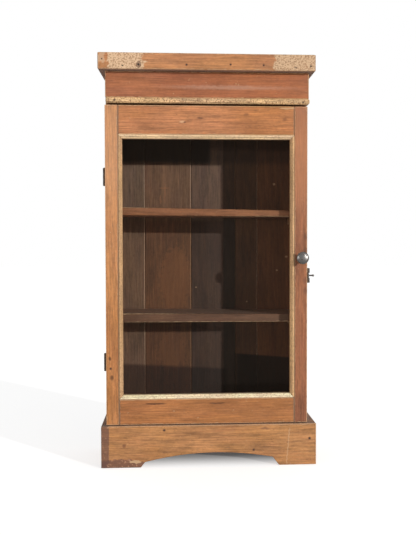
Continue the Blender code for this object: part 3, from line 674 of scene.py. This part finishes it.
def mark_back(wood):
    """Marks on the inner face of the planked back: browner and darker stretches, redder ones,
    scratches and specks, painted shade at the top, and darker stretches at the foot.
    """
    graph = wood.graph
    bare = wood.colour
    for across, height, soft, factors in BACK_SHADES:
        wide = wood.band("X", *across, 0.5)
        wood.shade(graph.times(wide, wood.band("Z", *height, soft)), factors)
    for place, size, colour, strength in BACK_GLOWS:
        wood.blot(place, size, colour, strength, soft=0.7, ragged=26, broken=1.2)
    for x, z, width, height in BACK_SCRATCHES:
        wood.blot((x, z), (width, height), (176, 116, 78), 0.45, ragged=4, broken=1.0)
    # painted shade under the top rail, deepest at the left
    top_shade = wood.ramp("Z", *TOP_SHADE_RAMP)
    wood.shade(top_shade, (0.55, 0.50, 0.42))
    wood.shade(graph.times(top_shade, wood.ramp("X", *TOP_SHADE_LEFT_RAMP)), (0.20, 0.22, 0.20))
    for line, soft, ramp, factors in FOOT_SHADES:
        foot = wood.slope_below(*line, soft)
        wood.shade(graph.times(foot, wood.ramp("X", *ramp)), factors)
    for x, z, size in BACK_SPECKS:
        wood.blot((x, z), (size, size * 0.8), (190, 150, 116), 0.7, ragged=3)
    inner_face = graph.step(graph.normal()[1], -0.2, -0.6)
    wood.colour = graph.mix(inner_face, bare, wood.colour)


MARKS = {
    "cornice_front": mark_cornice,
    "plinth_front": mark_plinth,
    "door_rail_top": mark_top_rail,
    "door_rail_bottom": mark_bottom_rail,
    "door_stile_left": mark_left_stile,
    "door_stile_right": mark_right_stile,
    "frieze_board": mark_frieze,
}
# How much dust lies on the ledges that show most; the others have LEDGE_DUST.
DUSTY_LEDGES = {"cornice_front": 0.75, "cornice_left": 0.75, "cornice_right": 0.75,
                "plinth_left": 0.8, "plinth_right": 0.8, "plinth_front": 0.6}
LEDGE_DUST = 0.35


def dust_and_door_shade(wood, node):
    """Dust where a board faces straight up or down; on the door's frame, painted shade there
    instead, to darken the gaps above and below the door.
    """
    graph = wood.graph
    flat = graph.step(graph.math("ABSOLUTE", graph.normal()[2]), 0.80, 0.97)
    if node.startswith(("door_rail", "door_stile")):
        # painted shade on the flat faces of the door's frame
        wood.shade(flat, DOOR_GAP_SHADE_FACTORS)
        return
    dust = graph.mix(wood.flecks(500, 0.4, 0.6), linear(GRIME), linear(DUST))
    wood.paint(flat, dust, DUSTY_LEDGES.get(node, LEDGE_DUST), roughness=0.75)


def paint_front_boards():
    """Stained boards: bare wood along the edges, and grime beside it."""
    for name, (grain, colour, seed, contrast) in FRONT_BOARDS.items():
        wood = Wood(name, grain, tones(linear(colour)), seed, contrast)
        graph = wood.graph
        worn = wood.rough_edge(wood.edges(name, WORN_REACH), 2.4)
        wood.paint(worn, linear(BARE_EDGE), 0.62, roughness=0.6)
        grime = wood.rough_edge(wood.edges(name, GRIME_REACH), 1.9)
        grime = graph.times(grime, graph.minus(1.0, worn))
        wood.shade(graph.times(grime, 0.8), GRIME_FACTORS)
        nail_rust(wood, name)
        if name in MARKS:
            MARKS[name](wood)
        dust_and_door_shade(wood, name)
        if name == "cornice_top_panel":
            wood.surface.inputs["Specular IOR Level"].default_value = TOP_PANEL_SHINE
        give([name], wood.finish())


def paint_pale_boards():
    """Bare pine, speckled with what is left of the stain."""
    for name, (grain, colour, seed, contrast) in PALE_BOARDS.items():
        tone = tones(linear(colour), PALE_SPREAD)
        wood = Wood(name, grain, tone, seed, contrast, PALE_PITCH, PALE_ROUGHNESS)
        speckle = NECK_SPECKLE if name == "neck_strip" else BEAD_SPECKLE
        wood.paint(wood.flecks(420, 0.52, 0.60), linear(SCUFF), speckle, depth=-0.6)
        nail_rust(wood, name)
        give([name], wood.finish(0.5))


def paint_inner_boards():
    """Dark boards inside, with pale edges along their joints."""
    for name, (grain, colour, seed, contrast) in INNER_BOARDS.items():
        tone = tones(linear(colour), INNER_SPREAD)
        wood = Wood(name, grain, tone, seed, contrast, roughness=INNER_ROUGHNESS)
        worn = wood.rough_edge(wood.edges(name, INNER_WORN_REACH), 1.2)
        wood.paint(worn, linear(INNER_EDGE), 0.75, roughness=0.7)
        if name.startswith("back_plank"):
            mark_back(wood)
        give([name], wood.finish())


# ---------------------------------------------------------------- iron
# Colour and roughness of the three irons.
HANDLED_IRON = ((166, 163, 160), 0.36)
DULL_IRON = ((112, 104, 98), 0.5)
NAIL_IRON = ((92, 80, 72), 0.55)
RUST = (74, 50, 40)
PITS = (40, 36, 34)
# Outline of a nail head: share of the radius, height in millimetres.
NAIL_PROFILE = ((1.0, -0.5), (1.0, 0.02), (0.92, 0.16), (0.62, 0.30), (0.30, 0.36))
NAIL_SIDES = 14


def iron_material(name, colour, roughness):
    material, graph, surface = new_material(name)
    place = graph.place()
    rust = graph.step(graph.noise(place, 260, 5.0, 0.65), 0.50, 0.68)
    pits = graph.noise(place, 1100)
    base = graph.mix(rust, linear(colour), linear(RUST))
    base = graph.mix(graph.step(pits, 0.55, 0.7), base, linear(PITS))
    graph.put(base, surface.inputs["Base Color"])
    graph.put(graph.multiply_add(rust, -0.6, 0.8), surface.inputs["Metallic"])
    graph.put(graph.multiply_add(rust, 0.3, roughness), surface.inputs["Roughness"])
    graph.put(graph.bump(pits, 0.4, 0.0002), surface.inputs["Normal"])
    return material


def add_nail(geometry, middle, radius):
    """A low domed head that looks along -Y; middle is on the wood's surface, in millimetres."""
    loops = []
    for share, rise in NAIL_PROFILE:
        loop = []
        for side in range(NAIL_SIDES):
            angle = math.tau * side / NAIL_SIDES
            across = math.cos(angle) * radius * share
            up = math.sin(angle) * radius * share
            loop.append(geometry.verts.new((middle + Vector((across, -rise, up))) * MM))
        loops.append(loop)
    for low, high in zip(loops, loops[1:]):
        for side in range(NAIL_SIDES):
            after = (side + 1) % NAIL_SIDES
            geometry.faces.new((low[side], low[after], high[after], high[side]))
    geometry.faces.new(loops[-1])
    geometry.faces.new(list(reversed(loops[0])))


def make_nails(iron):
    """The nail heads, one object for each body."""
    for body, boards in NAILED_BODIES.items():
        geometry = bmesh.new()
        for board in boards:
            face_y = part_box(board)[0][1] / MM
            for x, z, radius in NAILS[board]:
                add_nail(geometry, Vector((x, face_y, z)), radius)
        bmesh.ops.recalc_face_normals(geometry, faces=geometry.faces)
        mesh = bpy.data.meshes.new(f"nail_heads_{body}")
        geometry.to_mesh(mesh)
        geometry.free()
        mesh.shade_smooth()
        piece = bpy.data.objects.new(f"nail_heads_{body}", mesh)
        scene.collection.objects.link(piece)
        mesh.materials.append(iron)
        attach(piece, body)


def metal_parts():
    handled = iron_material("handled_iron", *HANDLED_IRON)
    dull = iron_material("dull_iron", *DULL_IRON)
    make_nails(iron_material("nail_iron", *NAIL_IRON))
    for name in NODES:
        if name.startswith("knob") or name == "slide_bolt":
            give([name], handled)
        elif "hinge" in name or "screw" in name or name.startswith("bolt_"):
            give([name], dull)


# ---------------------------------------------------------------- glass
GLASS_TINT = (0.95, 0.965, 0.96)
# What the glass reflects is warm and dim.
REFLECTION_TINT = (1.0, 0.74, 0.56)
# Share of light reflected when the glass is seen straight on, and added when seen edge on.
SHINE_FACING = 0.036
SHINE_GRAZING = 0.9


def glass_material():
    """Clear glass with a slightly smeared shine that grows towards grazing views."""
    material, graph, surface = new_material("window_glass_clear")
    graph.nodes.remove(surface)
    clear = graph.node("ShaderNodeBsdfTransparent", {"Color": GLASS_TINT})
    smear = graph.noise(graph.place(), (40, 40, 90))
    roughness = graph.step(smear, 0.3, 0.8, 0.02, 0.10)
    shine = graph.node("ShaderNodeBsdfGlossy", {"Color": REFLECTION_TINT, "Roughness": roughness})
    facing = graph.node("ShaderNodeLayerWeight").outputs["Facing"]
    share = graph.multiply_add(graph.math("POWER", facing, 5.0), SHINE_GRAZING, SHINE_FACING)
    layers = {0: share, 1: clear.outputs[0], 2: shine.outputs[0]}
    mixed = graph.node("ShaderNodeMixShader", layers)
    graph.put(mixed.outputs[0], graph.nodes["Material Output"].inputs["Surface"])
    return material


# ---------------------------------------------------------------- stage and light
WORLD_FILL = 0.42
WORLD_GLOSS = 0.10
WHITE = (1.0, 1.0, 1.0)
# name: azimuth from the front towards +X, elevation, strength, apparent size, colour; in degrees
SUNS = {
    "key": (43.0, 11.5, 2.1, 1.3, (1.0, 0.985, 0.96)),
    "fill": (-51.0, 1.5, 0.6, 2.0, (1.0, 0.99, 0.98)),
}
FLOOR_REACH = 12.0
# The floor lies just below the feet, so that their undersides don't lie in it.
FLOOR_DROP = 0.0004
FLOOR_TONES = ((0.74, 0.74, 0.74), (0.78, 0.78, 0.78))
# The floor glows towards the camera, and less under the cabinet, as a painted shadow.
FLOOR_GLOW = 0.66
UNDER_CABINET_SHADE = -0.60
# Where that painted shadow begins and where it is full, in metres.
UNDER_FRONT = (-0.075, 0.020)
UNDER_BACK = (0.100, 0.060)
UNDER_SIDES = (0.180, 0.120)


def make_world():
    """A white backdrop for the camera, dimmer as a light and dimmer still in reflections."""
    world = bpy.data.worlds.new("studio")
    scene.world = world
    world.use_nodes = True
    graph = Graph(world.node_tree)
    background = graph.nodes["Background"]
    rays = graph.node("ShaderNodeLightPath").outputs
    light = graph.multiply_add(rays["Is Glossy Ray"], WORLD_GLOSS - WORLD_FILL, WORLD_FILL)
    strength = graph.math("MAXIMUM", rays["Is Camera Ray"], light)
    graph.put(WHITE, background.inputs["Color"])
    graph.put(strength, background.inputs["Strength"])


def make_sun(name, azimuth, elevation, strength, size, colour):
    """A sun lamp; its angles are in degrees."""
    lamp = bpy.data.lights.new(name, "SUN")
    lamp.energy = strength
    lamp.angle = math.radians(size)
    lamp.color = colour
    sun = bpy.data.objects.new(name, lamp)
    scene.collection.objects.link(sun)
    azimuth = math.radians(azimuth)
    elevation = math.radians(elevation)
    level = math.cos(elevation)
    towards = Vector((math.sin(azimuth) * level, -math.cos(azimuth) * level, math.sin(elevation)))
    sun.rotation_mode = "QUATERNION"
    sun.rotation_quaternion = Vector((0, 0, 1)).rotation_difference(towards)


def make_floor():
    mesh = bpy.data.meshes.new("floor")
    corners = [(-1, -1), (1, -1), (1, 1), (-1, 1)]
    places = [(x * FLOOR_REACH, y * FLOOR_REACH, 0) for x, y in corners]
    mesh.from_pydata(places, [], [(0, 1, 2, 3)])
    floor = bpy.data.objects.new("floor", mesh)
    scene.collection.objects.link(floor)
    floor.location.z = -FLOOR_DROP
    floor.visible_glossy = False
    mesh.materials.append(floor_material())


def floor_material():
    material, graph, surface = new_material("pale_floor")
    place = graph.place()
    mottle = graph.noise(place, 3.0, 2.0, 0.55)
    graph.put(graph.mix(mottle, *FLOOR_TONES), surface.inputs["Base Color"])
    surface.inputs["Roughness"].default_value = 0.8
    rays = graph.node("ShaderNodeLightPath").outputs
    across, along, _ = graph.parts(place)
    behind_front = graph.step(along, *UNDER_FRONT)
    before_back = graph.step(along, *UNDER_BACK)
    between_sides = graph.step(graph.math("ABSOLUTE", across), *UNDER_SIDES)
    # painted shadow under the cabinet
    painted_shadow = graph.times(graph.times(behind_front, before_back), between_sides)
    glow = graph.multiply_add(painted_shadow, UNDER_CABINET_SHADE, FLOOR_GLOW)
    graph.put(graph.times(rays["Is Camera Ray"], glow), surface.inputs["Emission Strength"])
    surface.inputs["Emission Color"].default_value = (*WHITE, 1.0)
    return material


make_camera()
make_world()
for sun_name, settings in SUNS.items():
    make_sun(sun_name, *settings)
make_floor()
paint_front_boards()
paint_pale_boards()
paint_inner_boards()
metal_parts()
give(["glass_pane"], glass_material())
scene.view_settings.view_transform = "Standard"
